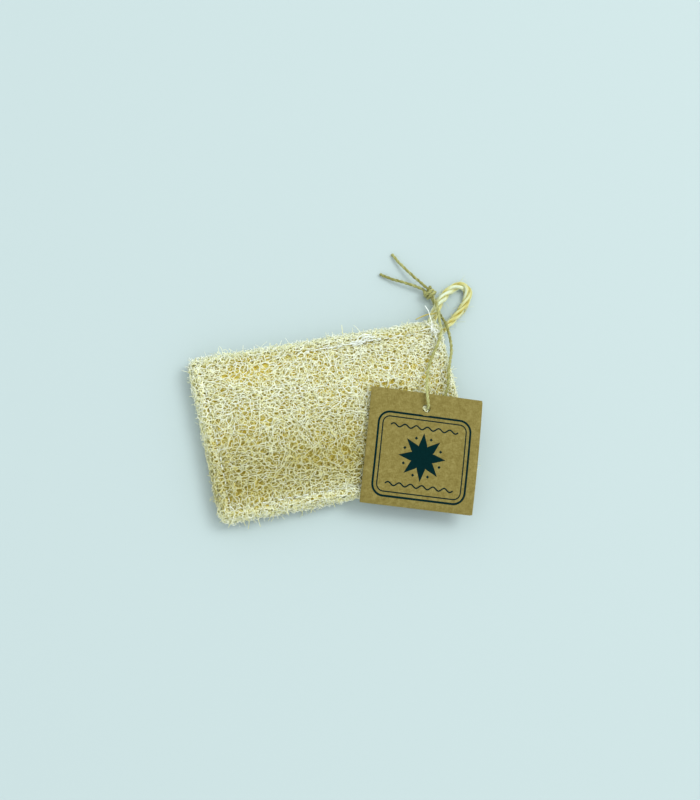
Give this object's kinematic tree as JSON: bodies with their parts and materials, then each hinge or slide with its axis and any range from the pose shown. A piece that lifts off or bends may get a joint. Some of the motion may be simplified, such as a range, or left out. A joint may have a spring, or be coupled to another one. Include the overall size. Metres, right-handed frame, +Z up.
{
  "type": "natural loofah sponge",
  "caption": "Flat rectangular scrub pad of natural loofah fibre, sewn round its hem, with a corded hanging loop at one corner and a square card tag on a twine.",
  "frame": {"origin": "centre of the pad's underside, on the surface that it lies on", "axes": "+X along the pad's long side, +Y along its short side towards the edge with the hanging loop, +Z up out of the pad's face; the loop is at the +X +Y corner"},
  "size_m": [0.1349, 0.1256, 0.0185],
  "materials": {
    "loofah_fibre": "matte",
    "sewing_thread": "satin",
    "loop_cord": "matte",
    "jute_twine": "matte",
    "kraft_card": "matte"
  },
  "bodies": {
    "root": {"loofah_pad": "loofah_fibre", "seam_thread_front": "sewing_thread", "seam_thread_back": "sewing_thread", "hanging_loop": "loop_cord", "tag_string": "jute_twine", "kraft_tag": "kraft_card"}
  },
  "joints": []
}
